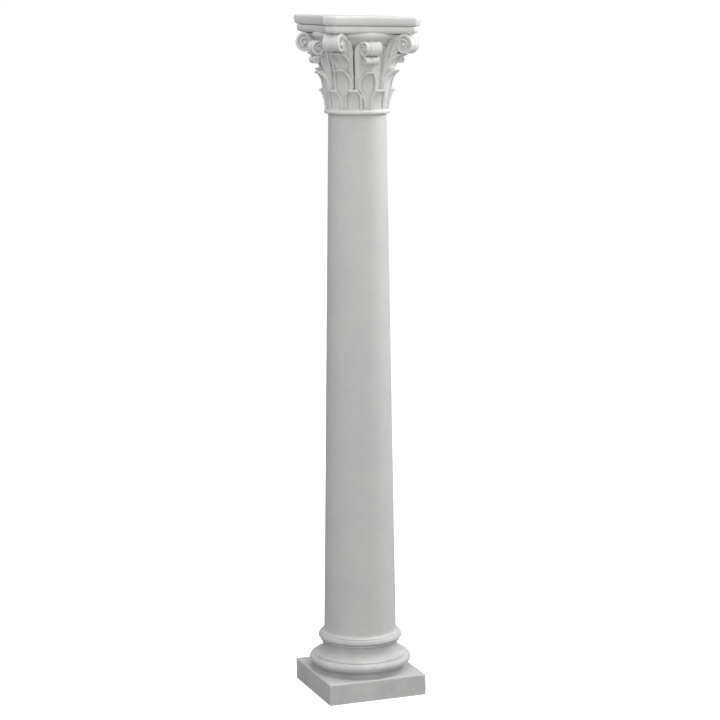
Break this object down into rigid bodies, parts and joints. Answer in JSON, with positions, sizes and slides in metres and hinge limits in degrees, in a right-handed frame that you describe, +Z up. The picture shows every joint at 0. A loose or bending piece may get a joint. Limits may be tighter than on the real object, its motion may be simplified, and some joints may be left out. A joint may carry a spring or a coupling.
{
  "type": "corinthian column",
  "caption": "Cast plaster display column: square plinth and moulded base, plain tapering shaft, carved leaf and scroll capital with a flat top.",
  "frame": {"origin": "middle of the plinth's underside, on the floor", "axes": "+Z up along the column's axis; the plinth's sides are square to X and Y, and -Y is the side that the picture shows widest"},
  "size_m": [0.278, 0.278, 1.83],
  "materials": {
    "base_plaster": "matt white cast plaster, lightly handled",
    "shaft_plaster": "matt white cast plaster with fine pinholes",
    "capital_plaster": "matt white cast plaster, soft edged carving"
  },
  "bodies": {
    "root": {"base": "base_plaster", "shaft": "shaft_plaster", "capital": "capital_plaster"}
  },
  "joints": []
}
